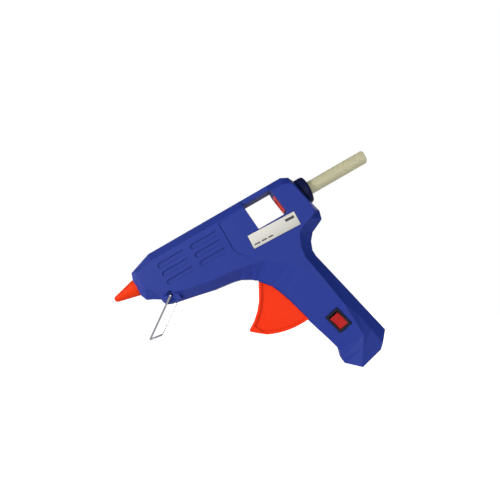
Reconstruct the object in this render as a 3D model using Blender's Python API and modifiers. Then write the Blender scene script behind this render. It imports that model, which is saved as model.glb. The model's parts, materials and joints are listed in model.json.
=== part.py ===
"""Hot-melt glue gun: moulded half shells, melt chamber, feed carriage, trigger, switch and wire stand.

Sizes are millimetres in the gun frame: x runs back from the nozzle tip along the barrel axis, z is up
and y = 0 is the parting plane of the two half shells.  The empty "gun_frame" tilts that frame nose down,
so that the finished gun stands on its wire stand and on the foot of its handle, on the plane z = 0.
"""
import math

import bmesh
import bpy
from mathutils import Matrix, Vector
from mathutils.bvhtree import BVHTree

MM = 0.001

# ---------------------------------------------------------------- driving sizes
GRIP_X = 127.0              # nozzle tip to trigger pivot, along the barrel
HANDLE_LEN = 113.0          # barrel underside to foot, along the handle
HANDLE_RAKE = 14.5          # degrees that the handle leans back
BODY_HALF = 16.0            # half thickness of the body at its flat sides
SPINE_HALF = 7.0            # half width of the flat spine between the chamfers
CREST_DROP = 2.8            # how much thinner the lower back facet is than the crest
TOP_Z = 18.4
WALL = 2.4
PART_GAP = 0.3              # gap at the parting plane
FIT = 0.3                   # clearance between pieces that touch
TABLE_ANGLE = 37.0          # barrel axis, nose down, when the gun stands
STICK_R = 5.6
CHAMBER_WALL = 2.6
SLEEVE_R = 7.3              # nozzle sleeve at its base
SLEEVE_TIP_R = 2.7
WIRE_R = 0.9
STAND_HALF = 14.9           # half width of the wire stand, to the wire's centre
STAND_PIVOT = (46.5, -21.7)
STAND_LEAN = 17.8           # degrees that the deployed stand leans forward
SCREW_R = 1.1
BOSS_R = 3.2
PIN_R = 2.0
LEAD_R = 1.0
TRIGGER_R = 67.0            # radius of the trigger's lower edge about its pivot
TRIGGER_HALF = 6.8
TRIGGER_WEB = 1.5           # depth of the trigger's recessed sides
PIVOT_Z = -30.0
DRIVE_ARM = 14.0            # trigger pivot to drive pin
ARM_LEAN = 12.0             # degrees that the drive arm leans back at rest
SWITCH_SIZE = (12.9, 17.3)
SWITCH_AT = (0.3, 40.3)     # from the foot anchor
SWITCH_LIP = 1.0            # how far the bezel overlaps its opening
SWITCH_SEAT = 0.35
COLLAR_R = 11.75
STICK_TAIL = 245.5 - 127.0  # free end of the stick, behind the trigger pivot
WINDOW_WALL = 2.0

ROUND = 32
FINE_ROUND = 20
SMALL_ROUND = 12

COLOURS = {
    "blue": ((0.022, 0.036, 0.24, 1), 0.42, 0.0),
    "orange": ((0.93, 0.045, 0.012, 1), 0.4, 0.0),
    "silicone": ((0.90, 0.05, 0.012, 1), 0.55, 0.0),
    "red": ((0.50, 0.03, 0.02, 1), 0.35, 0.0),
    "black": ((0.012, 0.012, 0.016, 1), 0.45, 0.0),
    "navy": ((0.018, 0.022, 0.06, 1), 0.5, 0.0),
    "brass": ((0.72, 0.48, 0.18, 1), 0.3, 1.0),
    "aluminium": ((0.70, 0.71, 0.73, 1), 0.45, 1.0),
    "steel": ((0.62, 0.62, 0.64, 1), 0.22, 1.0),
    "chrome": ((0.85, 0.85, 0.87, 1), 0.1, 1.0),
    "glue": ((0.50, 0.49, 0.33, 1), 0.35, 0.0),
    "label": ((0.80, 0.79, 0.74, 1), 0.5, 0.0),
    "ceramic": ((0.75, 0.72, 0.66, 1), 0.6, 0.0),
    "phenolic": ((0.25, 0.14, 0.07, 1), 0.6, 0.0),
    "brown": ((0.20, 0.07, 0.03, 1), 0.5, 0.0),
    "white": ((0.75, 0.75, 0.73, 1), 0.5, 0.0),
}


# ---------------------------------------------------------------- scene and helpers
def clear_scene():
    for obj in list(bpy.data.objects):
        bpy.data.objects.remove(obj, do_unlink=True)


def new_collection(name):
    collection = bpy.data.collections.new(name)
    bpy.context.scene.collection.children.link(collection)
    return collection


clear_scene()
PARTS = new_collection("glue_gun")
TOOLS = new_collection("cutters")
GUN = bpy.data.objects.new("gun_frame", None)
GUN.rotation_euler = (0.0, -math.radians(TABLE_ANGLE), 0.0)
PARTS.objects.link(GUN)


def material(name):
    """The Principled material of one finish, made once."""
    found = bpy.data.materials.get(name)
    if found:
        return found
    colour, roughness, metallic = COLOURS[name]
    made = bpy.data.materials.new(name)
    made.use_nodes = True
    shader = made.node_tree.nodes["Principled BSDF"]
    shader.inputs["Base Color"].default_value = colour
    shader.inputs["Roughness"].default_value = roughness
    shader.inputs["Metallic"].default_value = metallic
    made.diffuse_color = colour
    return made


def link_part(obj, finish):
    """Make an object a visible piece of the gun."""
    obj.data.materials.clear()
    obj.data.materials.append(material(finish))
    obj.parent = GUN
    PARTS.objects.link(obj)
    return obj


def link_tool(obj):
    """Keep an object only as an operand of Boolean modifiers."""
    obj.parent = GUN
    obj.display_type = "WIRE"
    obj.hide_render = True
    TOOLS.objects.link(obj)
    return obj


def mesh_object(name, bm, origin=(0.0, 0.0, 0.0)):
    """Turn a bmesh in gun-frame millimetres into an object whose origin is at the given point."""
    bmesh.ops.recalc_face_normals(bm, faces=bm.faces)
    bmesh.ops.translate(bm, verts=bm.verts, vec=-Vector(origin))
    bmesh.ops.scale(bm, verts=bm.verts, vec=(MM, MM, MM))
    mesh = bpy.data.meshes.new(name)
    bm.to_mesh(mesh)
    bm.free()
    mesh.shade_smooth()
    mesh.set_sharp_from_angle(angle=math.radians(35))
    obj = bpy.data.objects.new(name, mesh)
    obj.location = Vector(origin) * MM
    return obj


def add_prism(bm, outline, y_from, y_to):
    """Add a solid whose (x, z) outline is swept between two y planes."""
    near = [bm.verts.new((x, y_from, z)) for x, z in outline]
    face = bm.faces.new(near)
    swept = bmesh.ops.extrude_face_region(bm, geom=[face])
    moved = [item for item in swept["geom"] if isinstance(item, bmesh.types.BMVert)]
    bmesh.ops.translate(bm, verts=moved, vec=(0.0, y_to - y_from, 0.0))


def add_box(bm, x_range, y_range, z_range):
    middle = [(low + high) / 2 for low, high in (x_range, y_range, z_range)]
    size = [abs(high - low) for low, high in (x_range, y_range, z_range)]
    matrix = Matrix.Translation(middle) @ Matrix.Diagonal((*size, 1.0))
    bmesh.ops.create_cube(bm, size=1.0, matrix=matrix)


def add_rod(bm, start, end, radius, end_radius=None, segments=FINE_ROUND):
    """Add a round bar or a cone between two points."""
    start, end = Vector(start), Vector(end)
    axis = end - start
    turn = axis.to_track_quat("Z", "Y").to_matrix().to_4x4()
    matrix = Matrix.Translation((start + end) / 2) @ turn
    bmesh.ops.create_cone(bm, cap_ends=True, segments=segments, radius1=radius,
                          radius2=radius if end_radius is None else end_radius,
                          depth=axis.length, matrix=matrix)


def prism_object(name, outline, y_from, y_to, origin=(0.0, 0.0, 0.0)):
    bm = bmesh.new()
    add_prism(bm, outline, y_from, y_to)
    return mesh_object(name, bm, origin)


def box_object(name, x_range, y_range, z_range, origin=(0.0, 0.0, 0.0)):
    bm = bmesh.new()
    add_box(bm, x_range, y_range, z_range)
    return mesh_object(name, bm, origin)


def rod_object(name, start, end, radius, end_radius=None, segments=FINE_ROUND):
    bm = bmesh.new()
    add_rod(bm, start, end, radius, end_radius, segments)
    return mesh_object(name, bm)


def turned_object(name, profile, base, direction, steps=ROUND, closed=False):
    """A turned piece: (distance along the axis, radius) pairs, listed from its front to its back."""
    bm = bmesh.new()
    verts = [bm.verts.new((radius * MM, 0.0, along * MM)) for along, radius in reversed(profile)]
    pairs = list(zip(verts, verts[1:]))
    if closed:
        pairs.append((verts[-1], verts[0]))
    for first, second in pairs:
        bm.edges.new((first, second))
    mesh = bpy.data.meshes.new(name)
    bm.to_mesh(mesh)
    bm.free()
    obj = bpy.data.objects.new(name, mesh)
    turn = Vector(direction).to_track_quat("Z", "Y").to_matrix().to_4x4()
    obj.matrix_local = Matrix.Translation(Vector(base) * MM) @ turn
    screw = obj.modifiers.new("turn", "SCREW")
    screw.axis = "Z"
    screw.steps = steps
    screw.render_steps = steps
    screw.use_merge_vertices = True
    screw.merge_threshold = 0.00002
    screw.use_smooth_shade = True
    return obj


def boolean(obj, tool, operation):
    modifier = obj.modifiers.new(operation.lower(), "BOOLEAN")
    modifier.operation = operation
    modifier.solver = "EXACT"
    modifier.object = tool
    return obj


def cut(obj, *tools):
    for tool in tools:
        boolean(obj, tool, "DIFFERENCE")
    return obj


def unite(obj, *tools):
    for tool in tools:
        boolean(obj, tool, "UNION")
    return obj


def wire_object(name, points, radius, origin=(0.0, 0.0, 0.0), resolution=2):
    """A round wire through points in gun-frame millimetres."""
    curve = bpy.data.curves.new(name, "CURVE")
    curve.dimensions = "3D"
    curve.bevel_depth = radius * MM
    curve.bevel_resolution = resolution
    curve.use_fill_caps = True
    spline = curve.splines.new("POLY")
    spline.points.add(len(points) - 1)
    for slot, point in zip(spline.points, points):
        slot.co = (*((Vector(point) - Vector(origin)) * MM), 1.0)
    obj = bpy.data.objects.new(name, curve)
    obj.location = Vector(origin) * MM
    return obj


def smooth_route(knots, steps=5):
    """Points along a Catmull-Rom curve through the given knots."""
    knots = [Vector(knot) for knot in knots]
    padded = [2 * knots[0] - knots[1], *knots, 2 * knots[-1] - knots[-2]]
    route = []
    for before, start, end, after in zip(padded, padded[1:], padded[2:], padded[3:]):
        for step in range(steps):
            t = step / steps
            route.append(0.5 * (2 * start + (end - before) * t
                                + (2 * before - 5 * start + 4 * end - after) * t ** 2
                                + (3 * start - before - 3 * end + after) * t ** 3))
    route.append(knots[-1])
    return route


def rounded_route(corners, radius, steps=5):
    """The polyline through corners, each inner corner replaced by an arc of the radius."""
    corners = [Vector(corner) for corner in corners]
    route = [corners[0]]
    for before, corner, after in zip(corners, corners[1:], corners[2:]):
        back = (before - corner).normalized()
        ahead = (after - corner).normalized()
        half = back.angle(ahead) / 2
        centre = corner + (back + ahead).normalized() * (radius / math.sin(half))
        first = corner + back * (radius / math.tan(half)) - centre
        last = corner + ahead * (radius / math.tan(half)) - centre
        sweep = first.angle(last)
        for step in range(steps + 1):
            t = step / steps
            arm = (math.sin((1 - t) * sweep) * first + math.sin(t * sweep) * last) / math.sin(sweep)
            route.append(centre + arm)
    route.append(corners[-1])
    return route


def arc(centre, radius, start, end, steps):
    """(x, z) points on an arc, angles in degrees."""
    angles = [math.radians(start + (end - start) * step / steps) for step in range(steps + 1)]
    return [(centre[0] + radius * math.cos(a), centre[1] + radius * math.sin(a)) for a in angles]


# ---------------------------------------------------------------- places
RAKE = math.radians(HANDLE_RAKE)
FOOT = (GRIP_X + HANDLE_LEN * math.sin(RAKE), -40.0 - HANDLE_LEN * math.cos(RAKE))
PIVOT = (GRIP_X, PIVOT_Z)
TILT = math.radians(TABLE_ANGLE)
TABLE_UP = (math.sin(TILT), math.cos(TILT))
FACET_POINT = (FOOT[0], FOOT[1] - 3.9)
TABLE_LEVEL = FACET_POINT[0] * TABLE_UP[0] + FACET_POINT[1] * TABLE_UP[1]


def nose(x, z):
    return (x, z)


def grip(x, z):
    return (GRIP_X + x, z)


def foot(x, z):
    return (FOOT[0] + x, FOOT[1] + z)


def point(xz, y=0.0):
    return (xz[0], y, xz[1])


# Corners of the spine outline, each with its partner on the flat side face.
BACK = [
    (nose(22.4, 5.0), nose(30.0, 4.5)),
    (nose(24.5, 11.5), nose(31.0, 8.0)),
    (nose(45.0, TOP_Z), nose(46.0, 10.5)),
    (grip(46.0, TOP_Z), grip(45.0, 10.5)),
    (grip(52.0, 15.3), grip(49.5, 9.0)),
    (grip(55.0, 9.0), grip(52.0, 5.5)),
    (grip(59.2, -14.4), grip(56.0, -14.4)),
    (grip(61.0, -22.0), grip(57.0, -21.0)),
    (grip(59.2, -29.0), grip(50.4, -24.5)),
    (grip(47.3, -34.5), grip(41.9, -26.9)),
    (grip(42.0, -41.0), grip(36.2, -31.0)),
    (grip(39.4, -48.0), grip(32.2, -40.0)),
    (grip(39.6, -53.5), grip(30.6, -50.0)),
    (grip(44.0, -72.0), grip(34.7, -72.0)),
    (foot(22.0, 50.6), foot(10.7, 50.6)),
]
# Below that the side face narrows to a crest: spine corner, facet corner, crest point.
HANDLE_BACK = [
    (foot(25.3, 36.4), foot(16.5, 36.4), foot(11.0, 36.4)),
    (foot(29.2, 20.0), foot(19.9, 20.0), foot(11.8, 20.0)),
    (foot(31.9, 8.4), foot(22.1, 8.4), foot(5.7, 10.8)),
    (foot(36.1, -9.1), foot(24.7, -9.1), foot(-7.3, -9.1)),
]
HANDLE_FRONT = [
    (foot(-11.8, -9.1), foot(-7.3, -9.1)),
    (foot(-13.1, 9.9), foot(5.7, 10.8)),
    (foot(-11.1, 17.4), foot(11.8, 20.0)),
    (foot(-13.7, 27.4), foot(11.0, 36.4)),
]
FRONT = [
    (foot(-21.5, 52.2), foot(10.7, 50.6)),
    (grip(3.8, -86.5), grip(36.7, -88.9)),
    (grip(0.8, -75.5), grip(28.8, -68.7)),
    (grip(-2.8, -65.0), grip(23.0, -57.5)),
    (grip(-6.0, -57.5), grip(16.6, -49.0)),
    (grip(-13.2, -49.0), grip(5.0, -39.0)),
    (grip(-14.1, -47.0), grip(0.4, -36.1)),
    (grip(-17.4, -43.8), grip(-9.0, -34.0)),
    (grip(-25.9, -39.0), grip(-18.0, -32.3)),
    (grip(-32.7, -37.3), grip(-30.3, -30.3)),
    (grip(-49.8, -35.2), grip(-49.0, -28.4)),
    (nose(60.2, -31.5), nose(61.0, -24.8)),
    (nose(41.4, -27.6), nose(44.0, -19.2)),
    (nose(38.1, -26.7), nose(41.3, -18.1)),
    (nose(37.0, -24.2), nose(40.0, -16.6)),
    (nose(36.3, -20.9), nose(38.8, -15.0)),
    (nose(29.7, -16.9), nose(34.0, -9.3)),
    (nose(24.5, -14.4), nose(31.8, -6.3)),
    (nose(22.4, -9.2), nose(30.4, -3.0)),
]
# Planes that cut off the bottom of the handle: a point, and the outward (x, z) direction.
BOTTOM_CUTS = [
    (FACET_POINT, (-TABLE_UP[0], -TABLE_UP[1])),
    (foot(2.3, -1.5), (3.4, -15.4)),
    (foot(19.7, 3.4), (8.9, -10.0)),
]


def inset_loop(loop, distance):
    """Move each edge of a closed (x, z) loop inwards; the loop runs clockwise seen from -y."""
    moved = []
    for before, corner, after in zip(loop[-1:] + loop[:-1], loop, loop[1:] + loop[:1]):
        first = (Vector(corner) - Vector(before)).normalized()
        second = (Vector(after) - Vector(corner)).normalized()
        inward = Vector((first.y, -first.x)) + Vector((second.y, -second.x))
        length = distance / max(0.3, inward.length / 2)
        moved.append(tuple(Vector(corner) + inward.normalized() * length))
    return moved


def body_half(side, inset=0.0, split=PART_GAP / 2):
    """One closed half of the body, from its split plane to the flat side, as a bmesh."""
    rows = [(spine, face, face) for spine, face in BACK]
    rows += HANDLE_BACK
    rows += [(spine, face, face) for spine, face in HANDLE_FRONT + FRONT]
    spines = inset_loop([row[0] for row in rows], inset)
    bm = bmesh.new()
    made = {}

    def vert(xz, y):
        key = (round(xz[0], 3), round(y, 3), round(xz[1], 3))
        if key not in made:
            made[key] = bm.verts.new((xz[0], side * y, xz[1]))
        return made[key]

    def face(corners):
        ring = []
        for corner in corners:
            if corner not in ring:
                ring.append(corner)
        if len(ring) > 2:
            bm.faces.new(ring)

    facet_y = BODY_HALF - CREST_DROP - inset
    columns = []
    for spine, (_, mid, crest) in zip(spines, rows):
        crest_vert = vert(crest, BODY_HALF - inset)
        mid_vert = crest_vert if mid == crest else vert(mid, facet_y)
        columns.append((vert(spine, split), vert(spine, SPINE_HALF - inset / 2), mid_vert, crest_vert))
    for this, following in zip(columns, columns[1:] + columns[:1]):
        for level in range(3):
            face([this[level], following[level], following[level + 1], this[level + 1]])
    face([column[0] for column in columns])
    upper = columns[:len(BACK)] + columns[len(BACK) + len(HANDLE_BACK) + len(HANDLE_FRONT):]
    face([column[3] for column in upper])
    bmesh.ops.recalc_face_normals(bm, faces=bm.faces)
    for (x, z), outward in BOTTOM_CUTS:
        normal = Vector((outward[0], 0.0, outward[1])).normalized()
        base = Vector((x, 0.0, z)) - normal * inset
        geometry = bm.verts[:] + bm.edges[:] + bm.faces[:]
        done = bmesh.ops.bisect_plane(bm, geom=geometry, dist=0.0001, plane_co=base,
                                      plane_no=normal, clear_outer=True)
        rim = [item for item in done["geom_cut"] if isinstance(item, bmesh.types.BMEdge)]
        bmesh.ops.edgenet_fill(bm, edges=rim)
    bmesh.ops.recalc_face_normals(bm, faces=bm.faces)
    return bm


SKIN = {}
for skin_side in (-1, 1):
    skin_mesh = body_half(skin_side)
    SKIN[skin_side] = BVHTree.FromBMesh(skin_mesh)
    skin_mesh.free()


def skin_at(xz, side):
    """The outer surface point and its outward normal over an (x, z) place."""
    start = Vector((xz[0], side * 60.0, xz[1]))
    hit, normal, _, _ = SKIN[side].ray_cast(start, Vector((0.0, -side, 0.0)))
    return hit, normal


# ---------------------------------------------------------------- layout of the pieces
REAR_X = GRIP_X + 59.0
WINDOW = [grip(6.6, TOP_Z), grip(32.3, TOP_Z), grip(36.5, -11.2), grip(8.9, -11.2)]
RAIL_Z = 13.8
CHAMBER_R = STICK_R + 0.4 + CHAMBER_WALL
CHAMBER_FRONT = 27.0
INLET_END = GRIP_X + 4.0
CHAMBER_END = GRIP_X - 8.0
SUPPORT_X = (38.0, GRIP_X - 24.0)
SUPPORT_THICK = 2.0
BORE_R = STICK_R + 0.5
CARRIAGE_X = GRIP_X + 37.4
CARRIAGE_HALF = (8.4, 7.6)
COLLAR_NECK_R = 9.0
SCREWS = [nose(53.0, 12.4), grip(-8.5, 12.4), nose(68.0, -24.4), grip(-21.0, -29.0),
          grip(50.5, -21.5), grip(32.6, -66.0), foot(3.0, 16.5)]
CLAMP_SCREWS = [foot(2.6, 10.0), foot(13.4, 10.0)]
CLAMP_SCREW_R = 0.9
HEAD_DEPTH = 4.0            # screw head seats, below the body's surface
GLAND_AT = foot(10.0, 0.2)
GLAND_OUT = Vector((3.4, 0.0, -15.4)).normalized()
GLAND_R = 3.6
PANEL_END = grip(-17.5, 0.0)[0]
CREASE = grip(-5.5, 0.0)[0]
RELIEF = 0.6                # depth of the step at the panel's end
SLOT_ROWS = (3.2, -4.5, -12.3)
SLOT_SPANS = ((49.0, 73.5), (79.8, PANEL_END - 5.5))
SLOT_HALF = 2.0
SLOT_DEPTH = 0.7
LABEL_AT = grip(19.3, -18.3)
LABEL_SIZE = (43.0, 11.8)
LABEL_TILT = -1.9
LABEL_THICK = 0.4


def stand_geometry():
    """The crossbar's (x, z) place, with the deployed stand on the table."""
    height = STAND_PIVOT[0] * TABLE_UP[0] + STAND_PIVOT[1] * TABLE_UP[1] - TABLE_LEVEL - WIRE_R
    lean = math.radians(STAND_LEAN)
    reach = height * math.tan(lean)
    bar_x = STAND_PIVOT[0] - reach * TABLE_UP[1] - height * TABLE_UP[0]
    bar_z = STAND_PIVOT[1] + reach * TABLE_UP[0] - height * TABLE_UP[1]
    return bar_x, bar_z


CROSSBAR = stand_geometry()
DEPLOYED = math.degrees(math.atan2(CROSSBAR[1] - STAND_PIVOT[1], CROSSBAR[0] - STAND_PIVOT[0]))
STAND_FOLD = 119.0


def switch_frame():
    """A frame on the handle's side: x across the handle, y inwards, z up along the handle."""
    hit, normal = skin_at(foot(*SWITCH_AT), -1)
    inward = -normal
    up = Vector((-math.sin(RAKE), 0.0, math.cos(RAKE)))
    up = (up - inward * up.dot(inward)).normalized()
    across = inward.cross(up)
    frame = Matrix((across, inward, up)).transposed().to_4x4()
    return Matrix.Translation(hit) @ frame


SWITCH = switch_frame()


# ---------------------------------------------------------------- half shells
def vent_outline(x_from, x_to, z):
    """A slot outline with a round front end."""
    round_end = arc((x_from + SLOT_HALF, z), SLOT_HALF, 90.0, 270.0, 6)
    return round_end + [(x_to, z - SLOT_HALF), (x_to, z + SLOT_HALF)]


def stand_pocket_outline():
    """The space that the leg sweeps beside the pivot."""
    first = DEPLOYED - 5.0
    last = DEPLOYED + STAND_FOLD + 5.0
    return arc(STAND_PIVOT, 15.6, first, last, 10) + arc(STAND_PIVOT, 3.4, last, first + 360.0, 12)


def shell_ribs(side):
    """Bosses and ribs that don't touch each other, trimmed later to the inside of the wall."""
    bm = bmesh.new()
    split = side * PART_GAP / 2
    for place in SCREWS:
        add_rod(bm, point(place, split), point(place, side * BODY_HALF), BOSS_R)
    add_rod(bm, point(PIVOT, side * (TRIGGER_HALF + 3.6)), point(PIVOT, side * BODY_HALF), 4.4)
    for plate_x in SUPPORT_X:
        for rib_x in (plate_x - FIT - 1.6, plate_x + SUPPORT_THICK + FIT):
            add_box(bm, (rib_x, rib_x + 1.6), (side * 9.6, side * BODY_HALF), (-11.0, 11.0))
    for rib_z in (CARRIAGE_HALF[1] + FIT, -CARRIAGE_HALF[1] - FIT - 1.6):
        add_box(bm, (CARRIAGE_X + 4.6, REAR_X - 3.0), (side * 5.0, side * BODY_HALF), (rib_z, rib_z + 1.6))
    if side < 0:
        for place in CLAMP_SCREWS:
            add_rod(bm, point(place, split), point(place, -BODY_HALF), 2.1, segments=SMALL_ROUND)
    return mesh_object("ribs", bm)


def window_frame(side):
    """The walls of the sight window, and the rail that bridges it under the spine."""
    grown = inset_loop(WINDOW, -WINDOW_WALL)
    frame = prism_object("window_frame", grown, side * PART_GAP / 2, side * BODY_HALF)
    return link_tool(frame)


def window_cutter(side):
    """The opening: right through below the rail, and up through the chamfer beside it."""
    (front_x, top), (rear_x, _), (low_rear_x, low), (low_front_x, _) = WINDOW
    lean_front = (low_front_x - front_x) / (top - low)
    lean_rear = (low_rear_x - rear_x) / (top - low)
    above = 2.0
    outline = [(front_x - lean_front * above, top + above), (rear_x - lean_rear * above, top + above),
               (low_rear_x, low), (low_front_x, low)]
    opening = link_tool(prism_object("window", outline, side * -1.0, side * (BODY_HALF + 2.0)))
    kept = box_object("rail_kept", (front_x - 9.0, rear_x + 9.0),
                      (side * -3.0, side * (SPINE_HALF + 0.2)), (RAIL_Z, top + 9.0))
    return cut(opening, link_tool(kept))


def trigger_slot(side):
    """The opening in the front of the handle that the trigger swings through."""
    radius = TRIGGER_R + 0.5
    lower = arc(PIVOT, radius, -134.0, -78.0, 10)
    outline = [grip(-15.6, -46.3), grip(-46.0, -80.0)] + lower[1:] + [grip(6.0, -60.0), grip(-4.0, -36.0)]
    return link_tool(prism_object("trigger_slot", outline, side * -1.0, side * (TRIGGER_HALF + 0.5)))


def round_cutters(side):
    """Round holes that don't touch each other: nozzle, collar neck, pins, screws and cord inlet."""
    bm = bmesh.new()
    add_rod(bm, (15.0, 0, 0), (SUPPORT_X[0] - 4.0, 0, 0), SLEEVE_R + FIT + 0.3, segments=ROUND)
    add_rod(bm, (REAR_X - 7.0, 0, 0), (REAR_X + 10.0, 0, 0), COLLAR_NECK_R + FIT, segments=ROUND)
    add_rod(bm, point(PIVOT, side * 5.0), point(PIVOT, side * 13.0), PIN_R + FIT)
    for place in SCREWS:
        if side < 0:
            add_rod(bm, point(place, 1.0), point(place, -9.0), SCREW_R + FIT, segments=SMALL_ROUND)
            continue
        add_rod(bm, point(place, -1.0), point(place, 30.0), SCREW_R + FIT, segments=SMALL_ROUND)
    if side < 0:
        for place in CLAMP_SCREWS:
            add_rod(bm, point(place, 1.0), point(place, -7.0), CLAMP_SCREW_R + FIT, segments=SMALL_ROUND)
    gland = Vector(point(GLAND_AT))
    add_rod(bm, gland - GLAND_OUT * 6.0, gland + GLAND_OUT * 6.0, GLAND_R + FIT)
    return link_tool(mesh_object("round_cutters", bm))


def relief_cutters(side):
    """Shallow vent-like slots in the flat side."""
    skin = side * BODY_HALF
    bm = bmesh.new()
    for low, high in SLOT_SPANS:
        for row in SLOT_ROWS:
            add_prism(bm, vent_outline(low, high, row), skin - side * SLOT_DEPTH, skin + side * 2.0)
    return link_tool(mesh_object("relief_cutters", bm))


def panel_wedge(side):
    """The step at the panel's end, whose floor rises to the surface at the crease."""
    outline = [(PANEL_END, 8.8), (CREASE, 8.8), (CREASE, -31.5), (PANEL_END, -17.5)]
    skin = BODY_HALF
    bm = bmesh.new()
    floor = [bm.verts.new((x, side * (skin - (RELIEF if x == PANEL_END else -0.02)), z)) for x, z in outline]
    lid = [bm.verts.new((x, side * (skin + 2.0), z)) for x, z in outline]
    for ring in (floor, lid):
        bm.faces.new(ring)
    for corner in range(4):
        after = (corner + 1) % 4
        bm.faces.new([floor[corner], floor[after], lid[after], lid[corner]])
    return link_tool(mesh_object("panel_wedge", bm))


def stand_cutters(side):
    """The pocket in which the leg swings and the hole for its inner end."""
    floor = side * (STAND_HALF - WIRE_R - FIT)
    pocket = prism_object("stand_pocket", stand_pocket_outline(), floor, side * (BODY_HALF + 4.0))
    bm = bmesh.new()
    add_rod(bm, point(STAND_PIVOT, side * 9.0), point(STAND_PIVOT, side * 20.0), WIRE_R + FIT)
    for turn in (36.0, 62.0):
        angle = math.radians(DEPLOYED + turn)
        away = Vector((math.cos(angle), 0.0, math.sin(angle)))
        start = Vector(point(STAND_PIVOT, floor + side * 0.13)) + away * 3.7
        add_rod(bm, start, start + away * 9.0, 0.8, segments=SMALL_ROUND)
    return link_tool(pocket), link_tool(mesh_object("stand_holes", bm))


def half_shell(name, side):
    """One moulded half shell with its bosses, ribs and openings."""
    shell = mesh_object(name, body_half(side))
    cut(shell, link_tool(mesh_object("hollow", body_half(side, inset=WALL, split=-1.0))))
    core = link_tool(mesh_object("core", body_half(side, inset=WALL / 2)))
    ribs = link_tool(shell_ribs(side))
    pad = [nose(40.2, -17.8), nose(51.5, -20.0), nose(52.5, -28.6), nose(47.0, -28.4),
           nose(41.6, -27.2), nose(38.6, -26.2), nose(37.6, -24.0), nose(37.2, -21.4)]
    pad_block = link_tool(prism_object("stand_pad", pad, side * 8.0, side * (STAND_HALF - WIRE_R - FIT)))
    frame = window_frame(side)
    rail = link_tool(box_object("rail", (WINDOW[0][0] - 1.0, WINDOW[1][0] + 2.5),
                                (side * PART_GAP / 2, side * SPINE_HALF), (RAIL_Z, TOP_Z - 1.0)))
    unite(frame, rail, ribs)
    boolean(frame, core, "INTERSECT")
    unite(shell, frame, pad_block)
    stick_way = link_tool(rod_object("stick_way", (GRIP_X + 2, 0, 0), (GRIP_X + 20, 0, 0), BORE_R + 0.5))
    carriage_way = link_tool(box_object("carriage_way", (GRIP_X + 28.0, CARRIAGE_X + 4.0),
                                        (-CARRIAGE_HALF[0] - FIT, CARRIAGE_HALF[0] + FIT),
                                        (-CARRIAGE_HALF[1] - FIT, CARRIAGE_HALF[1] + FIT)))
    pocket, holes = stand_cutters(side)
    cut(shell, window_cutter(side), stick_way, carriage_way, trigger_slot(side), round_cutters(side))
    cut(shell, relief_cutters(side), panel_wedge(side), pocket, holes)
    if side < 0:
        cut(shell, link_tool(label_block("label_recess", FIT, -3.0, LABEL_THICK + FIT)),
            switch_seat(), switch_opening())
    else:
        cut(shell, head_pockets())
    return link_part(shell, "blue")


def head_pockets():
    """Counterbores for the screw heads, in the right shell only."""
    bm = bmesh.new()
    for place in SCREWS:
        depth = abs(skin_at(place, 1)[0].y) - HEAD_DEPTH
        add_rod(bm, point(place, depth), point(place, 30.0), 2.9)
    return link_tool(mesh_object("head_pockets", bm))


def label_matrix():
    turn = Matrix.Rotation(math.radians(-LABEL_TILT), 4, "Y")
    return Matrix.Translation(point(LABEL_AT, -BODY_HALF)) @ turn


def label_block(name, grow, outer, inner):
    """A box on the left flat side, turned with the label."""
    bm = bmesh.new()
    half_x, half_z = LABEL_SIZE[0] / 2 + grow, LABEL_SIZE[1] / 2 + grow
    add_box(bm, (-half_x, half_x), (outer, inner), (-half_z, half_z))
    bmesh.ops.transform(bm, matrix=label_matrix(), verts=bm.verts)
    return mesh_object(name, bm)


def switch_block(bm, half_x, y_range, half_z):
    """A box in the switch's own frame."""
    add_box(bm, (-half_x, half_x), y_range, (-half_z, half_z))


def switch_object(name, bm):
    bmesh.ops.transform(bm, matrix=SWITCH, verts=bm.verts)
    return mesh_object(name, bm)


def switch_seat():
    """A shallow flat for the bezel, which also levels the twist of the handle's side."""
    bm = bmesh.new()
    switch_block(bm, SWITCH_SIZE[0] / 2 + FIT, (-8.0, SWITCH_SEAT), SWITCH_SIZE[1] / 2 + FIT)
    return link_tool(switch_object("switch_seat", bm))


def switch_opening():
    bm = bmesh.new()
    switch_block(bm, SWITCH_SIZE[0] / 2 - SWITCH_LIP, (-8.0, 9.0), SWITCH_SIZE[1] / 2 - SWITCH_LIP)
    return link_tool(switch_object("switch_opening", bm))


def build_shells():
    half_shell("left_housing", -1)
    half_shell("right_housing", 1)


def build_label():
    link_part(label_block("label_plate", 0.0, -0.1, LABEL_THICK), "label")


# ---------------------------------------------------------------- nozzle and melt chamber
def build_nozzle():
    """The brass nozzle and the silicone guard over its cone."""
    seat = 24.0
    cone = (SLEEVE_R - SLEEVE_TIP_R) / 18.9
    sleeve = [(-0.9, 1.6), (-0.5, 2.2), (0.6, SLEEVE_TIP_R), (19.5, SLEEVE_R), (seat, SLEEVE_R),
              (seat, 5.6 + FIT), (19.5, 5.6 + FIT), (2.0, 5.6 + FIT - 17.5 * cone), (-0.9, 1.2)]
    link_part(turned_object("nozzle_sleeve", sleeve, (0, 0, 0), (1, 0, 0), closed=True), "silicone")
    tip = [(-1.1, 0.9), (1.5, 0.95), (19.5, 5.3), (seat + FIT, 5.5), (seat + 2.5, 5.5), (seat + 2.5, 3.4),
           (32.0, 3.4), (32.0, 1.8), (6.0, 1.5), (2.0, 0.6), (-1.1, 0.6)]
    link_part(turned_object("nozzle_tip", tip, (0, 0, 0), (1, 0, 0), FINE_ROUND, closed=True), "brass")


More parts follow.
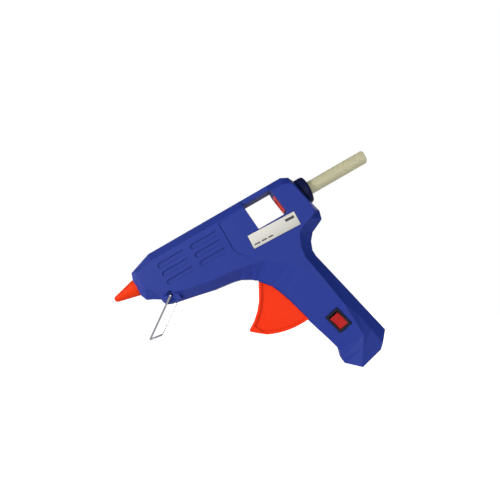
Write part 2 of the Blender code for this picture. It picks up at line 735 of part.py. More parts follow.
def build_chamber():
    """The aluminium melt chamber with the heater in its lug, and what holds it."""
    bore = STICK_R + 0.4
    spigot = CHAMBER_END - 10.0
    profile = [(CHAMBER_FRONT, 6.4), (30.0, CHAMBER_R), (spigot, CHAMBER_R), (spigot, CHAMBER_R - 1.2),
               (CHAMBER_END, CHAMBER_R - 1.2), (CHAMBER_END, bore), (45.0, bore), (33.0, 3.7),
               (CHAMBER_FRONT, 3.7)]
    chamber = turned_object("melt_chamber", profile, (0, 0, 0), (1, 0, 0), 24, closed=True)
    heater_x = (SUPPORT_X[0] + 18.0, SUPPORT_X[0] + 52.0)
    lug_z = (-CHAMBER_R - 5.0, -CHAMBER_R + 2.1)
    lug = link_tool(box_object("lug", heater_x, (-7.0, 7.0), lug_z))
    slot_z = (-CHAMBER_R - 3.5, -CHAMBER_R - 0.6)
    slot = link_tool(box_object("slot", (heater_x[0] - 5, heater_x[1] + 5), (-5.4, 5.4), slot_z))
    unite(chamber, lug)
    link_part(cut(chamber, slot), "aluminium")
    element = box_object("heater_element", (heater_x[0] + 2, heater_x[1] - 2), (-5.4 + FIT, 5.4 - FIT),
                         (slot_z[0] + FIT, slot_z[1] - FIT))
    link_part(element, "ceramic")
    clip_x = (heater_x[0] + 10.0, heater_x[1] - 10.0)
    clip = box_object("heater_clip", clip_x, (-8.4, 8.4), (lug_z[0] - 1.2, -CHAMBER_R + 3.1))
    gap = box_object("clip_gap", (clip_x[0] - 1, clip_x[1] + 1), (-7.4, 7.4), (lug_z[0] - 0.4, 0.0))
    link_part(cut(clip, link_tool(gap)), "steel")
    for name, plate_x in zip(("front_support", "rear_support"), SUPPORT_X):
        ring = [(0.0, 12.4), (SUPPORT_THICK, 12.4), (SUPPORT_THICK, CHAMBER_R + FIT), (0.0, CHAMBER_R + FIT)]
        link_part(turned_object(name, ring, (plate_x, 0, 0), (1, 0, 0), closed=True), "phenolic")


def build_inlet():
    """The silicone inlet sleeve on the chamber's spigot and the band that clamps it."""
    front = CHAMBER_END - 10.0 + FIT
    over = CHAMBER_R - 1.2 + FIT
    outer = over + 1.2
    profile = [(front, outer), (INLET_END, outer), (INLET_END, BORE_R + 0.6), (INLET_END - 2, BORE_R),
               (CHAMBER_END + FIT, BORE_R), (CHAMBER_END + FIT, over), (front, over)]
    link_part(turned_object("inlet_sleeve", profile, (0, 0, 0), (1, 0, 0), 24, closed=True), "orange")
    band_x = front + 2.0
    band = [(band_x, outer + 0.9), (band_x + 2.5, outer + 0.9), (band_x + 2.5, outer + FIT),
            (band_x, outer + FIT)]
    link_part(turned_object("sleeve_clamp", band, (0, 0, 0), (1, 0, 0), 24, closed=True), "steel")


# ---------------------------------------------------------------- stick feed
JAW_PIVOT = (CARRIAGE_X + 6.6, STICK_R + 4.8)
DRIVE_PIN = (PIVOT[0] + DRIVE_ARM * math.sin(math.radians(ARM_LEAN)),
             PIVOT[1] + DRIVE_ARM * math.cos(math.radians(ARM_LEAN)))
DRIVE_PIN_R = 1.2
BAR_HALF = 1.4
BAR_Z = (-18.8, -13.7)


def build_carriage():
    """The carriage that grips the stick, with its drawbar down to the trigger's drive pin."""
    top, half_y = CARRIAGE_HALF[1], CARRIAGE_HALF[0]
    rear = CARRIAGE_X + 13.0
    lean = (WINDOW[2][0] - WINDOW[1][0]) / (TOP_Z - WINDOW[2][1])
    front = WINDOW[2][0] + lean * WINDOW[2][1] - 0.9
    outline = [(front - lean * top, top), (rear, top), (rear, -top), (front + lean * top, -top)]
    carriage = prism_object("feed_carriage", outline, -half_y, half_y)
    ears = bmesh.new()
    for ear in (-1, 1):
        add_box(ears, (JAW_PIVOT[0] - 2.0, JAW_PIVOT[0] + 4.8), (ear * 3.1, ear * 4.6),
                (top - 1.0, JAW_PIVOT[1] + 2.0))
    leg_x = (rear - 4.8, rear)
    drawbar = bmesh.new()
    add_prism(drawbar, [(leg_x[0], -top + 1.0), (leg_x[1], -top + 1.0), (leg_x[1], BAR_Z[1]),
                        (leg_x[1] - 3.6, BAR_Z[0]),
                        (DRIVE_PIN[0] - 3.6, BAR_Z[0]), (DRIVE_PIN[0] - 3.6, BAR_Z[1]),
                        (leg_x[0], BAR_Z[1])], -BAR_HALF, BAR_HALF)
    unite(carriage, link_tool(mesh_object("ears", ears)), link_tool(mesh_object("drawbar", drawbar)))
    bore = rod_object("carriage_bore", (GRIP_X, 0, 0), (REAR_X + 9, 0, 0), BORE_R, segments=24)
    jaw_way = box_object("jaw_way", (JAW_PIVOT[0] - 3.0, JAW_PIVOT[0] + 8.0), (-2.9, 2.9), (4.0, top + 0.5))
    pin_way = rod_object("pin_way", point(JAW_PIVOT, -9.0), point(JAW_PIVOT, 9.0), 1.2,
                         segments=SMALL_ROUND)
    half_slot = DRIVE_PIN_R + FIT
    slot = box_object("drive_slot", (DRIVE_PIN[0] - half_slot, DRIVE_PIN[0] + half_slot), (-3.0, 3.0),
                      (BAR_Z[0] - 1.0, DRIVE_PIN[1] + half_slot + 0.3))
    cut(carriage, *[link_tool(tool) for tool in (bore, jaw_way, pin_way, slot)])
    link_part(carriage, "red")


def build_jaw():
    """The lever between the carriage's ears whose tooth bites the stick, and its pin."""
    x, z = JAW_PIVOT
    tooth_z = STICK_R + 0.6
    outline = [(x - 1.9, z + 0.9), (x, z + 1.9), (x + 2.0, z + 1.7), (x + 5.9, z - 1.8),
               (x + 5.6, tooth_z), (x + 4.7, tooth_z), (x + 3.2, z - 2.0), (x, z - 2.0), (x - 1.9, z - 1.1)]
    jaw = prism_object("clamp_jaw", outline, -2.6, 2.6, origin=point(JAW_PIVOT))
    hole = rod_object("jaw_hole", point(JAW_PIVOT, -9.0), point(JAW_PIVOT, 9.0), 1.2, segments=SMALL_ROUND)
    link_part(cut(jaw, link_tool(hole)), "steel")
    pin = rod_object("jaw_pin", point(JAW_PIVOT, -4.5), point(JAW_PIVOT, 4.5), 0.9, segments=SMALL_ROUND)
    link_part(pin, "steel")


def build_stick():
    front, rear = GRIP_X + 40.5, GRIP_X + STICK_TAIL
    profile = [(front, 0.0), (front, STICK_R - 0.3), (front + 0.4, STICK_R), (rear - 0.9, STICK_R),
               (rear - 0.2, STICK_R - 0.5), (rear, STICK_R - 1.2), (rear, 0.0)]
    link_part(turned_object("glue_stick", profile, (0, 0, 0), (1, 0, 0)), "glue")


def build_collar():
    """The dark guide ring behind the body: a neck in the wall and a flange parallel to the rear face."""
    end = REAR_X + 4.5
    bore = BORE_R + 0.3
    flange = [(REAR_X - 9, COLLAR_R), (end - 2.2, COLLAR_R), (end - 0.7, COLLAR_R - 0.9),
              (end, COLLAR_R - 2.6), (end, bore + 0.9), (end - 0.9, bore), (REAR_X - 9, bore)]
    collar = turned_object("rear_collar", flange, (0, 0, 0), (1, 0, 0), closed=True)
    top, bottom = Vector(BACK[5][0]), Vector(BACK[6][0])
    along = (bottom - top).normalized()
    out = Vector((-along.y, along.x))
    gap = FIT
    base = top + out * gap
    front = [base - along * 30.0, base + along * 60.0, base + along * 60.0 - out * 30.0,
             base - along * 30.0 - out * 30.0]
    slope = link_tool(prism_object("collar_slope", [tuple(corner) for corner in front], -20.0, 20.0))
    neck = [(REAR_X - 5.0, COLLAR_NECK_R), (REAR_X + 2.0, COLLAR_NECK_R), (REAR_X + 2.0, bore + 0.5),
            (REAR_X - 5.0, bore + 0.5)]
    neck_ring = link_tool(turned_object("collar_neck", neck, (0, 0, 0), (1, 0, 0), closed=True))
    cut(collar, slope)
    link_part(unite(collar, neck_ring), "navy")


# ---------------------------------------------------------------- trigger
def trigger_outline():
    """Front edge, rounded tip, lower edge about the pivot and back edge, from the pivot down."""
    front = [(-4.6, -2.0), (-13.4, -18.6), (-20.7, -31.7), (-26.4, -38.9), (-33.0, -45.0), (-39.6, -49.2),
             (-40.5, -50.2), (-40.2, -51.3)]
    lower = arc((0.0, 0.0), TRIGGER_R, -116.0, -79.0, 8)
    back = [(7.0, -28.0), (4.6, -2.0)]
    corner = [(-36.4, -54.6)]
    return [(PIVOT[0] + x, PIVOT[1] + z) for x, z in front + corner + lower + back]


def web_outline():
    """The recessed field inside the trigger's front and lower rims."""
    front = [(-8.6, -14.5), (-17.8, -31.4), (-23.6, -39.4), (-30.0, -45.4), (-35.0, -49.0)]
    lower = arc((0.0, 0.0), TRIGGER_R - 2.4, -119.0, -81.5, 8)
    back = [(4.0, -14.5)]
    return [(PIVOT[0] + x, PIVOT[1] + z) for x, z in front + lower + back]


def build_trigger():
    origin = point(PIVOT)
    trigger = prism_object("trigger", trigger_outline(), -TRIGGER_HALF, TRIGGER_HALF, origin)
    hub = rod_object("hub", point(PIVOT, -TRIGGER_HALF - 0.2), point(PIVOT, TRIGGER_HALF + 0.2), 5.2)
    unite(trigger, link_tool(hub))
    lean = math.radians(ARM_LEAN)
    side_step = Vector((math.cos(lean), -math.sin(lean))) * 2.3
    for cheek in (-1, 1):
        arm = [tuple(Vector(PIVOT) - side_step), tuple(Vector(DRIVE_PIN) - side_step)]
        arm += arc(DRIVE_PIN, 2.3, 180.0 - ARM_LEAN, -ARM_LEAN, 6)[1:-1]
        arm += [tuple(Vector(DRIVE_PIN) + side_step), tuple(Vector(PIVOT) + side_step)]
        plate = prism_object("cheek", arm, cheek * (BAR_HALF + 0.6), cheek * (BAR_HALF + 3.2))
        unite(trigger, link_tool(plate))
    for face in (-1, 1):
        web = prism_object("web", web_outline(), face * (TRIGGER_HALF - TRIGGER_WEB), face * 12.0)
        cut(trigger, link_tool(web))
    holes = bmesh.new()
    add_rod(holes, point(PIVOT, -12.0), point(PIVOT, 12.0), PIN_R + FIT)
    add_rod(holes, point(DRIVE_PIN, -8.0), point(DRIVE_PIN, 8.0), DRIVE_PIN_R + FIT, segments=SMALL_ROUND)
    cut(trigger, link_tool(mesh_object("pin_holes", holes)))
    link_part(trigger, "orange")
    link_part(rod_object("trigger_pin", point(PIVOT, -12.6), point(PIVOT, 12.6), PIN_R), "steel")
    drive = rod_object("drive_pin", point(DRIVE_PIN, -4.4), point(DRIVE_PIN, 4.4), DRIVE_PIN_R,
                       segments=SMALL_ROUND)
    link_part(drive, "steel")


def build_spring():
    """The torsion spring round the trigger pin."""
    wire, coil, turns, per_turn = 0.35, PIN_R + 1.5, 2.5, 12
    start_y, width = TRIGGER_HALF + 0.9, 2.0
    points = [(PIVOT[0] + coil, start_y, PIVOT[1] - 12.0)]
    for step in range(int(turns * per_turn) + 1):
        angle = 2 * math.pi * step / per_turn
        points.append((PIVOT[0] + coil * math.cos(angle), start_y + width * step / (turns * per_turn),
                       PIVOT[1] + coil * math.sin(angle)))
    points.append((PIVOT[0] - coil, start_y + width, PIVOT[1] + 6.0))
    link_part(wire_object("trigger_spring", points, wire), "steel")


# ---------------------------------------------------------------- switch and wiring
ROCKER_PIVOT_Y = 1.0
ROCKER_TILT = 9.0


def build_switch():
    bm = bmesh.new()
    switch_block(bm, SWITCH_SIZE[0] / 2, (-1.5, SWITCH_SEAT - FIT), SWITCH_SIZE[1] / 2)
    body = switch_object("switch_body", bm)
    bm = bmesh.new()
    lip = SWITCH_LIP + FIT
    switch_block(bm, SWITCH_SIZE[0] / 2 - lip, (-1.0, 9.5), SWITCH_SIZE[1] / 2 - lip)
    can = link_tool(switch_object("switch_can", bm))
    bm = bmesh.new()
    switch_block(bm, 4.6, (-3.0, 3.6), 6.9)
    recess = link_tool(switch_object("switch_recess", bm))
    link_part(cut(unite(body, can), recess), "black")
    outline = [(-1.9, 6.2), (-0.9, 2.8), (-0.6, 0.0), (-0.9, -2.8), (-1.9, -6.2), (1.2, -5.6), (2.2, 0.0),
               (1.2, 5.6)]
    bm = bmesh.new()
    face = bm.faces.new([bm.verts.new((-4.3, y, z)) for y, z in outline])
    swept = bmesh.ops.extrude_face_region(bm, geom=[face])
    moved = [item for item in swept["geom"] if isinstance(item, bmesh.types.BMVert)]
    bmesh.ops.translate(bm, verts=moved, vec=(8.6, 0.0, 0.0))
    pivot = Vector((0.0, ROCKER_PIVOT_Y, 0.0))
    turn = Matrix.Translation(pivot) @ Matrix.Rotation(math.radians(ROCKER_TILT), 4, "X")
    bmesh.ops.transform(bm, matrix=SWITCH @ turn @ Matrix.Translation(-pivot), verts=bm.verts)
    link_part(mesh_object("switch_rocker", bm, origin=SWITCH @ pivot), "red")
    for number, x in enumerate((-2.6, 2.6), start=1):
        bm = bmesh.new()
        add_box(bm, (x - 0.4, x + 0.4), (9.8, 15.0), (-1.6, 1.6))
        link_part(switch_object("switch_terminal_" + str(number), bm), "brass")


def build_leads():
    """Inner wires, held along the back of the handle and beside the drawbar."""
    first = SWITCH @ Vector((-2.6, 16.4, 0.0))
    second = SWITCH @ Vector((2.6, 16.4, 0.0))
    heater_rear = SUPPORT_X[0] + 51.2
    heater_z = -CHAMBER_R - 2.05
    supply = [point(foot(7.5, 6.2), -1.2), point(foot(6.9, 10.0), -1.2), point(foot(7.7, 16.5), -1.2),
              point(foot(6.0, 25.0), 3.0), first]
    up_handle = [foot(17.0, 52.0), grip(41.4, -85.0), grip(39.4, -72.0), grip(38.5, -66.0),
                 grip(35.4, -55.0)]
    along_body = [(grip(33.6, -46.0), 2.4), (grip(20.0, -25.0), 7.6), (grip(0.0, -21.6), 9.0),
                  (grip(-20.0, -20.6), 7.0),
                  ((heater_rear + 8.0, heater_z - 2.0), 3.6), ((heater_rear, heater_z), 2.6)]
    heater = [second, point(foot(11.0, 46.0), 3.0)]
    back = [point(foot(10.1, 6.2), -1.2), point(foot(9.4, 10.0), -1.2), point(foot(10.6, 16.5), -1.2),
            point(foot(17.0, 34.0), -1.3)]
    for knots, side in ((heater, 1), (back, -1)):
        knots += [point(place, side * 1.3) for place in up_handle]
        knots += [point(place, side * y) for place, y in along_body]
    for name, knots, finish in (("supply_lead", supply, "brown"), ("heater_lead", heater, "brown"),
                                ("return_lead", back, "white")):
        link_part(wire_object(name, smooth_route(knots), LEAD_R), finish)


def build_inlet_gland():
    """The cord grommet, flush in the handle's foot, and the clamp bar above it."""
    ring = [(-4.6, 5.0), (-2.9, 5.0), (-2.9, GLAND_R), (-0.2, GLAND_R), (-0.2, 2.4), (-4.6, 2.4)]
    gland = turned_object("cord_gland", ring, point(GLAND_AT), GLAND_OUT, FINE_ROUND, closed=True)
    link_part(gland, "black")
    (x_from, z), (x_to, _) = CLAMP_SCREWS
    clamp = box_object("cord_clamp", (x_from - 2.2, x_to + 2.2), (FIT, 2.6), (z - 2.0, z + 2.0))
    holes = bmesh.new()
    for place in CLAMP_SCREWS:
        add_rod(holes, point(place, -2.0), point(place, 6.0), CLAMP_SCREW_R + FIT, segments=SMALL_ROUND)
    cord_x = (x_from + x_to) / 2
    groove = rod_object("clamp_groove", (cord_x, -1.2, z - 9), (cord_x, -1.2, z + 9), 3.0)
    link_part(cut(clamp, link_tool(mesh_object("clamp_holes", holes)), link_tool(groove)), "black")
    for number, place in enumerate(CLAMP_SCREWS, start=1):
        screw("clamp_screw_" + str(number), place, 2.6 + FIT, -6.4, CLAMP_SCREW_R, 1.7, 1.2)


def screw(name, place, seat, tip, radius, head_r, head_h):
    """A screw along y with a domed head and a cross recess."""
    profile = [(0.0, 0.0), (0.0, radius), (seat - tip, radius), (seat - tip, head_r),
               (seat - tip + head_h * 0.6, head_r), (seat - tip + head_h, head_r * 0.6),
               (seat - tip + head_h, 0.0)]
    body = turned_object(name, profile, point(place, tip), (0, 1, 0), SMALL_ROUND)
    cross = bmesh.new()
    top = seat + head_h
    for wide, tall in ((head_r * 1.2, 0.5), (0.5, head_r * 1.2)):
        add_box(cross, (place[0] - wide / 2, place[0] + wide / 2), (top - head_h * 0.55, top + 1.0),
                (place[1] - tall / 2, place[1] + tall / 2))
    tool = link_tool(mesh_object("cross", cross))
    boolean(body, tool, "DIFFERENCE").modifiers[-1].use_self = True
    return link_part(body, "steel")


def build_screws():
    for number, place in enumerate(SCREWS, start=1):
        seat = abs(skin_at(place, 1)[0].y) - HEAD_DEPTH + FIT
        screw("housing_screw_" + str(number), place, seat, -8.0, SCREW_R, 2.5, 1.8)


# ---------------------------------------------------------------- wire stand
def build_stand():
    """One bent wire: two inner ends in the body, two legs and the crossbar that rests on the table."""
    corners = []
    for side in (-1, 1):
        leg = [point(STAND_PIVOT, side * 10.0), point(STAND_PIVOT, side * STAND_HALF),
               point(CROSSBAR, side * STAND_HALF)]
        corners += leg if side < 0 else leg[::-1]
    route = rounded_route(corners, 1.15, 4)
    link_part(wire_object("stand_wire", route, WIRE_R, origin=point(STAND_PIVOT)), "chrome")


def settle():
    """Put the gun on the plane z = 0, centred over the origin."""
    bpy.context.view_layer.update()
    graph = bpy.context.evaluated_depsgraph_get()
    low, high = Vector((1e9,) * 3), Vector((-1e9,) * 3)
    for obj in PARTS.objects:
        if obj.type == "EMPTY":
            continue
        shape = obj.evaluated_get(graph).to_mesh()
        for vert in shape.vertices:
            spot = obj.matrix_world @ vert.co
            low = Vector(map(min, low, spot))
            high = Vector(map(max, high, spot))
    GUN.location = (-(low.x + high.x) / 2, 0.0, -low.z)


build_shells()
build_label()
build_nozzle()
build_chamber()
build_inlet()
build_carriage()
build_jaw()
build_stick()
build_collar()
build_trigger()
build_spring()
build_switch()
build_leads()
build_inlet_gland()
build_screws()
build_stand()
settle()
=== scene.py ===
"""Looks of the hot-melt glue gun: moulded plastics, silicone, metals, glue stick and a soft white studio.

Lengths are metres in the frame of the CAD part, which stands on z = 0 with its nozzle towards -x.
Every CAD piece keeps its mesh and gets rounded edges and a procedural material.
"""
import json
import math

import bmesh
import bpy
from mathutils import Matrix, Vector


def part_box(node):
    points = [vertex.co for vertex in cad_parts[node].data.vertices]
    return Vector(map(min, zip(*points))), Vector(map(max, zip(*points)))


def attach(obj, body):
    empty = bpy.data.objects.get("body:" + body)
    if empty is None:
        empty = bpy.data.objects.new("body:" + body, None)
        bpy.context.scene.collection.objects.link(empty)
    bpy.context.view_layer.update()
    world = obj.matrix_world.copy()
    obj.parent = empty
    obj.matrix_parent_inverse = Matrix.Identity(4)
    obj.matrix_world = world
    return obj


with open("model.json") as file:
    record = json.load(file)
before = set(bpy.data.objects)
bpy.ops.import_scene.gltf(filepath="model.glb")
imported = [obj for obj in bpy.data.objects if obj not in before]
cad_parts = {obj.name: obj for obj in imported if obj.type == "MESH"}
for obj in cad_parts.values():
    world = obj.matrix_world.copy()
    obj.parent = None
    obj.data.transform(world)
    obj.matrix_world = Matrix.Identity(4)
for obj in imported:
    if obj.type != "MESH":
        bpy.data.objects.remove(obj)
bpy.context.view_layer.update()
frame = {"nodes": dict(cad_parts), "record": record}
NODES = frame["nodes"]
MM = 0.001

# ---------------------------------------------------------------- gun frame
TABLE_ANGLE = math.radians(37.0)    # barrel axis above the table
ALONG = Vector((math.cos(TABLE_ANGLE), 0.0, math.sin(TABLE_ANGLE)))
ACROSS = Vector((-math.sin(TABLE_ANGLE), 0.0, math.cos(TABLE_ANGLE)))


def middle(name):
    """The centre of a CAD node's box."""
    low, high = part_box(name)
    return (low + high) / 2


PIVOT = middle("trigger_pin")
PIVOT_IN_GUN = (127.0, -30.0)   # the trigger pin's place in gun millimetres
LABEL_TILT = -1.9           # degrees between the label and the barrel


def place(x, y, z):
    """A point given in gun millimetres: x along the barrel from the nozzle, z square to it."""
    from_pivot = ALONG * (x - PIVOT_IN_GUN[0]) + ACROSS * (z - PIVOT_IN_GUN[1]) + Vector((0.0, y, 0.0))
    return PIVOT + from_pivot * MM


# ---------------------------------------------------------------- materials
def srgb(red, green, blue):
    """Linear colour from display values of 0 to 255."""
    def linear(value):
        value /= 255.0
        return value / 12.92 if value <= 0.04045 else ((value + 0.055) / 1.055) ** 2.4
    return (linear(red), linear(green), linear(blue), 1.0)


def node(tree, kind, where, **values):
    """A shader node of the given kind, with its settings."""
    made = tree.nodes.new(kind)
    made.location = where
    for name, value in values.items():
        setattr(made, name, value)
    return made


def noise_of(tree, coords, size, detail, where):
    """A noise field whose features are about the given size in metres."""
    field = node(tree, "ShaderNodeTexNoise", where)
    field.inputs["Scale"].default_value = 1.0 / size
    field.inputs["Detail"].default_value = detail
    tree.links.new(coords.outputs["Object"], field.inputs["Vector"])
    return field


# Mix nodes have a set of sockets for each data type; these are the ones for colours and for single values.
COLOUR_A, COLOUR_B, COLOUR_RESULT = 6, 7, 2
VALUE_A, VALUE_B, VALUE_RESULT = 2, 3, 0
BLOTCH_SIZE = 0.035         # metres across a patch of lighter or darker tone
BEVEL_SAMPLES = 6


def surfaced(name, colour, roughness, grain=0.0004, depth=0.00002, blotch=0.05, roughness_swing=0.08,
             metallic=0.0, edge=0.0, **extra):
    """A Principled material with a fine surface grain and a faint large variation of tone.

    grain is the size of the grain, depth its height and edge the radius of rounded edges, all in metres.
    """
    made = bpy.data.materials.new(name)
    made.use_nodes = True
    tree = made.node_tree
    shader = tree.nodes["Principled BSDF"]
    coords = node(tree, "ShaderNodeTexCoord", (-1100, 0))
    fine = noise_of(tree, coords, grain, 4.0, (-850, -250))
    large = noise_of(tree, coords, BLOTCH_SIZE, 2.0, (-850, 150))
    dark = tuple(channel * (1.0 - blotch) for channel in colour[:3]) + (1.0,)
    light = tuple(min(1.0, channel * (1.0 + blotch)) for channel in colour[:3]) + (1.0,)
    tone = node(tree, "ShaderNodeMix", (-450, 200), data_type="RGBA")
    tone.inputs[COLOUR_A].default_value = dark
    tone.inputs[COLOUR_B].default_value = light
    tree.links.new(large.outputs["Fac"], tone.inputs["Factor"])
    tree.links.new(tone.outputs[COLOUR_RESULT], shader.inputs["Base Color"])
    spread = node(tree, "ShaderNodeMapRange", (-450, -60))
    spread.inputs["To Min"].default_value = roughness - roughness_swing
    spread.inputs["To Max"].default_value = roughness + roughness_swing
    tree.links.new(fine.outputs["Fac"], spread.inputs["Value"])
    tree.links.new(spread.outputs["Result"], shader.inputs["Roughness"])
    bump = node(tree, "ShaderNodeBump", (-450, -320))
    bump.inputs["Distance"].default_value = depth
    tree.links.new(fine.outputs["Fac"], bump.inputs["Height"])
    tree.links.new(bump.outputs["Normal"], shader.inputs["Normal"])
    if edge:
        rounding = node(tree, "ShaderNodeBevel", (-700, -500), samples=BEVEL_SAMPLES)
        rounding.inputs["Radius"].default_value = edge
        tree.links.new(rounding.outputs["Normal"], bump.inputs["Normal"])
    shader.inputs["Metallic"].default_value = metallic
    for socket, value in extra.items():
        shader.inputs[socket.replace("_", " ")].default_value = value
    return made


# Linear colours of the strongest plastics, which a display shows near the limit of its range.
BODY_BLUE = (0.0135, 0.033, 0.255, 1.0)
SLEEVE_ORANGE = (0.74, 0.034, 0.001, 1.0)
TRIGGER_ORANGE = (0.86, 0.032, 0.001, 1.0)

# One material for each slot of the CAD record.
MATERIALS = {
    "body_plastic": surfaced("blue ABS", BODY_BLUE, 0.55, grain=0.0005, depth=0.00004,
                             edge=0.0009, Specular_IOR_Level=0.22),
    "label": surfaced("label stock", srgb(206, 204, 196), 0.55, depth=0.000004, blotch=0.02),
    "sleeve_silicone": surfaced("orange silicone", SLEEVE_ORANGE, 0.5, depth=0.00001,
                                Specular_IOR_Level=0.1),
    "inlet_silicone": surfaced("inlet silicone", srgb(235, 80, 30), 0.6),
    "nozzle_brass": surfaced("turned brass", srgb(205, 165, 95), 0.25, metallic=1.0),
    "chamber_aluminium": surfaced("cast aluminium", srgb(195, 197, 200), 0.5, grain=0.0012, metallic=1.0),
    "heater_ceramic": surfaced("heater ceramic", srgb(215, 210, 198), 0.7),
    "plain_steel": surfaced("zinc plated steel", srgb(190, 190, 194), 0.28, metallic=1.0),
    "insulating_board": surfaced("insulating board", srgb(110, 72, 46), 0.75),
    "carriage_plastic": surfaced("red carriage nylon", srgb(222, 40, 26), 0.4),
    "trigger_plastic": surfaced("orange ABS", TRIGGER_ORANGE, 0.36, depth=0.000012, blotch=0.03,
                                edge=0.0007, Specular_IOR_Level=0.12),
    "collar_plastic": surfaced("navy nylon", srgb(12, 19, 60), 0.45, Specular_IOR_Level=0.12),
    "hot_melt_glue": surfaced("hot melt glue", srgb(190, 186, 153), 0.42, grain=0.006, blotch=0.03,
                              depth=0.00001, Specular_IOR_Level=0.3,
                              Subsurface_Weight=0.35, Subsurface_Scale=0.003,
                              Subsurface_Radius=(1.0, 0.95, 0.8)),
    "switch_plastic": surfaced("black nylon", srgb(13, 14, 22), 0.42, Specular_IOR_Level=0.3),
    "rocker_plastic": surfaced("red rocker", srgb(176, 12, 8), 0.3, depth=0.000004, Specular_IOR_Level=0.35),
    "terminal_brass": surfaced("terminal brass", srgb(205, 165, 95), 0.35, metallic=1.0),
    "lead_brown": surfaced("brown insulation", srgb(96, 56, 34), 0.45),
    "lead_white": surfaced("white insulation", srgb(225, 225, 220), 0.45),
    "gland_rubber": surfaced("black rubber", srgb(22, 22, 25), 0.6),
    "stand_chrome": surfaced("chrome plate", srgb(168, 169, 174), 0.12, metallic=1.0, depth=0.000002,
                             roughness_swing=0.03),
}

# ---------------------------------------------------------------- edges
# Width of the rounded edges of the smaller pieces, in millimetres.
EDGE_ROUND = {"switch_body": 0.35, "switch_rocker": 0.3, "feed_carriage": 0.3, "label_plate": 0.05}
SMALL_ROUND = 0.12
ROUND_STEPS = 3
ROUND_ABOVE = math.radians(24.0)    # edges flatter than this stay as they are
WELD_WITHIN = 0.00001

# Round or wire-like pieces, and the shells and trigger, whose materials round their edges.
PLAIN = {"left_housing", "right_housing", "trigger", "stand_wire", "supply_lead", "heater_lead",
         "return_lead", "trigger_spring", "glue_stick", "nozzle_sleeve", "nozzle_tip", "rear_collar"}

# Degrees above which an edge is shaded as a crease.
CREASE = 40.0
FACETED = {"left_housing": 7.0, "right_housing": 7.0, "trigger": 20.0}


def soften(obj, width):
    """Round the edges between the flat facets, without touching the mesh."""
    weld = obj.modifiers.new("weld", "WELD")
    weld.merge_threshold = WELD_WITHIN
    bevel = obj.modifiers.new("edges", "BEVEL")
    bevel.width = width
    bevel.segments = ROUND_STEPS
    bevel.limit_method = "ANGLE"
    bevel.angle_limit = ROUND_ABOVE
    bevel.harden_normals = True
    bevel.use_clamp_overlap = True


def shade(obj, angle):
    """Smooth shading, broken at edges sharper than the angle in degrees."""
    obj.data.shade_smooth()
    obj.data.set_sharp_from_angle(angle=math.radians(angle))


SLOT_OF = {part["node"]: part["material_slot"] for part in frame["record"]["subparts"]}
for name, obj in NODES.items():
    obj.data.materials.clear()
    obj.data.materials.append(MATERIALS[SLOT_OF[name]])
    shade(obj, FACETED.get(name, CREASE))
    if name not in PLAIN:
        soften(obj, EDGE_ROUND.get(name, SMALL_ROUND) * MM)

# ---------------------------------------------------------------- print on the label
LABEL_CENTRE = middle("label_plate")
PRINT_THICK = 0.03          # millimetres
# Each dash in millimetres: its centre along and across the label from the label's middle, its length
# and its height.
PRINT_DASHES = ((-17.0, -3.2, 5.4, 1.1), (-10.6, -3.2, 4.6, 1.1), (-4.8, -3.2, 4.2, 1.1),
                (15.6, 2.3, 8.0, 2.2))


def build_print():
    """Plain dark dashes where a maker would print words."""
    tilt = math.radians(LABEL_TILT)
    along = ALONG * math.cos(tilt) + ACROSS * math.sin(tilt)
    across = ACROSS * math.cos(tilt) - ALONG * math.sin(tilt)
    outward = Vector((0.0, -1.0, 0.0))
    face = Vector((LABEL_CENTRE.x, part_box("label_plate")[0][1], LABEL_CENTRE.z))
    bm = bmesh.new()
    for at, up, length, height in PRINT_DASHES:
        centre = face + (along * at + across * up + outward * PRINT_THICK / 2) * MM
        turn = Matrix((along * length, outward * PRINT_THICK, across * height)).transposed().to_4x4()
        bmesh.ops.create_cube(bm, size=MM, matrix=Matrix.Translation(centre) @ turn)
    bmesh.ops.recalc_face_normals(bm, faces=bm.faces)
    mesh = bpy.data.meshes.new("label_print")
    bm.to_mesh(mesh)
    bm.free()
    dashes = bpy.data.objects.new("label_print", mesh)
    dashes.data.materials.append(surfaced("label ink", srgb(52, 52, 58), 0.6, depth=0.000003))
    bpy.context.scene.collection.objects.link(dashes)
    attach(dashes, "housing")


build_print()

# ---------------------------------------------------------------- studio
WHITE = (1.0, 1.0, 1.0, 1.0)
SKY_SEEN = 1.0
SKY_BRIGHT = 0.76           # strength of the sky's light on its bright side
SKY_DIM = 0.03
DIM_SIDE = (0.45, 0.55, 0.70)   # towards the dim side: behind, above and to the right
BRIGHT_BELOW, DIM_ABOVE = -0.6, 0.7     # along DIM_SIDE, where the light starts and stops fading
FLOOR_HALF = 6.0
FLOOR_DROP = 0.00005        # how far the floor lies under the gun's feet
FLOOR_PALE = (0.85, 0.85, 0.85, 1.0)
FLOOR_SEEN = 0.98
FLOOR_GLOW = 0.45           # the floor's own light on the gun
GUN_MIDDLE = (0.0, 0.0, 0.07)   # what the lamps face


def seen_or_lighting(tree, seen, lighting):
    """A value that is one thing to the camera and another to every other ray."""
    rays = node(tree, "ShaderNodeLightPath", (-900, 300))
    chosen = node(tree, "ShaderNodeMix", (-600, 300), data_type="FLOAT")
    tree.links.new(rays.outputs["Is Camera Ray"], chosen.inputs["Factor"])
    if isinstance(lighting, float):
        chosen.inputs[VALUE_A].default_value = lighting
    else:
        tree.links.new(lighting, chosen.inputs[VALUE_A])
    chosen.inputs[VALUE_B].default_value = seen
    return chosen.outputs[VALUE_RESULT]


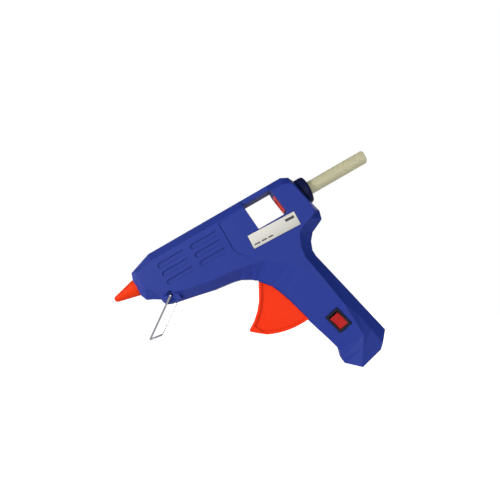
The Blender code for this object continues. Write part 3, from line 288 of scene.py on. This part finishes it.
def floor_material():
    """Pale and matt, and bright enough to the eye to meet the sky without a line."""
    made = bpy.data.materials.new("pale floor")
    made.use_nodes = True
    tree = made.node_tree
    shader = tree.nodes["Principled BSDF"]
    shader.inputs["Base Color"].default_value = FLOOR_PALE
    shader.inputs["Roughness"].default_value = 0.8
    shader.inputs["Specular IOR Level"].default_value = 0.2
    shader.inputs["Emission Color"].default_value = WHITE
    tree.links.new(seen_or_lighting(tree, FLOOR_SEEN, FLOOR_GLOW), shader.inputs["Emission Strength"])
    return made


def build_floor():
    bm = bmesh.new()
    bmesh.ops.create_grid(bm, x_segments=1, y_segments=1, size=FLOOR_HALF)
    mesh = bpy.data.meshes.new("floor")
    bm.to_mesh(mesh)
    bm.free()
    floor = bpy.data.objects.new("floor", mesh)
    floor.data.materials.append(floor_material())
    floor.location.z = -FLOOR_DROP
    bpy.context.scene.collection.objects.link(floor)


def build_world():
    """Plain white to the eye; the light it gives is bright at the lower left and dim at the upper right."""
    world = bpy.data.worlds.new("studio")
    bpy.context.scene.world = world
    world.use_nodes = True
    tree = world.node_tree
    background = tree.nodes["Background"]
    coords = node(tree, "ShaderNodeTexCoord", (-1000, -200))
    toward = node(tree, "ShaderNodeVectorMath", (-800, -200), operation="DOT_PRODUCT")
    toward.inputs[1].default_value = DIM_SIDE
    tree.links.new(coords.outputs["Generated"], toward.inputs[0])
    level = node(tree, "ShaderNodeMapRange", (-600, -200))
    level.inputs["From Min"].default_value = BRIGHT_BELOW
    level.inputs["From Max"].default_value = DIM_ABOVE
    level.inputs["To Min"].default_value = SKY_BRIGHT
    level.inputs["To Max"].default_value = SKY_DIM
    tree.links.new(toward.outputs["Value"], level.inputs["Value"])
    background.inputs["Color"].default_value = WHITE
    tree.links.new(seen_or_lighting(tree, SKY_SEEN, level.outputs["Result"]), background.inputs["Strength"])


def build_light(name, spot, size, power):
    """A round lamp that faces the middle of the gun."""
    lamp = bpy.data.lights.new(name, "AREA")
    lamp.shape = "DISK"
    lamp.size = size
    lamp.energy = power
    obj = bpy.data.objects.new(name, lamp)
    obj.location = spot
    obj.rotation_euler = (Vector(GUN_MIDDLE) - Vector(spot)).to_track_quat("-Z", "Y").to_euler()
    bpy.context.scene.collection.objects.link(obj)


CAMERA_DISTANCE = 0.330     # metres from the parting plane
CAMERA_FACES = (128.2, 0.0, -62.6)  # where its axis meets that plane, in gun millimetres
CAMERA_ROLL = math.radians(7.0)
MM_PER_PIXEL = 0.86         # at the parting plane
IMAGE_SIDE = 500.0
SENSOR_WIDTH = 36.0
SHIFT = (-32.0, 38.0)       # pixels


def build_camera():
    """Square to the left side, rolled a little, close and wide."""
    right = Vector((math.cos(CAMERA_ROLL), 0.0, math.sin(CAMERA_ROLL)))
    up = Vector((-math.sin(CAMERA_ROLL), 0.0, math.cos(CAMERA_ROLL)))
    back = Vector((0.0, -1.0, 0.0))
    data = bpy.data.cameras.new("camera")
    data.sensor_width = SENSOR_WIDTH
    data.lens = SENSOR_WIDTH * CAMERA_DISTANCE / (IMAGE_SIDE * MM_PER_PIXEL * MM)
    data.shift_x, data.shift_y = (pixels / IMAGE_SIDE for pixels in SHIFT)
    data.clip_start = 0.01
    data.clip_end = 50.0
    camera = bpy.data.objects.new("camera", data)
    turn = Matrix((right, up, back)).transposed().to_4x4()
    camera.matrix_world = Matrix.Translation(place(*CAMERA_FACES) + back * CAMERA_DISTANCE) @ turn
    bpy.context.scene.collection.objects.link(camera)
    bpy.context.scene.camera = camera


build_floor()
build_world()
build_light("key", (-0.65, -0.60, 0.02), 0.35, 7.0)
build_light("fill", (0.30, -1.00, 0.12), 0.5, 2.2)
build_light("far side", (0.25, 1.00, 0.60), 0.6, 3.0)
build_camera()
bpy.context.scene.view_settings.view_transform = "Standard"

bpy.context.view_layer.update()
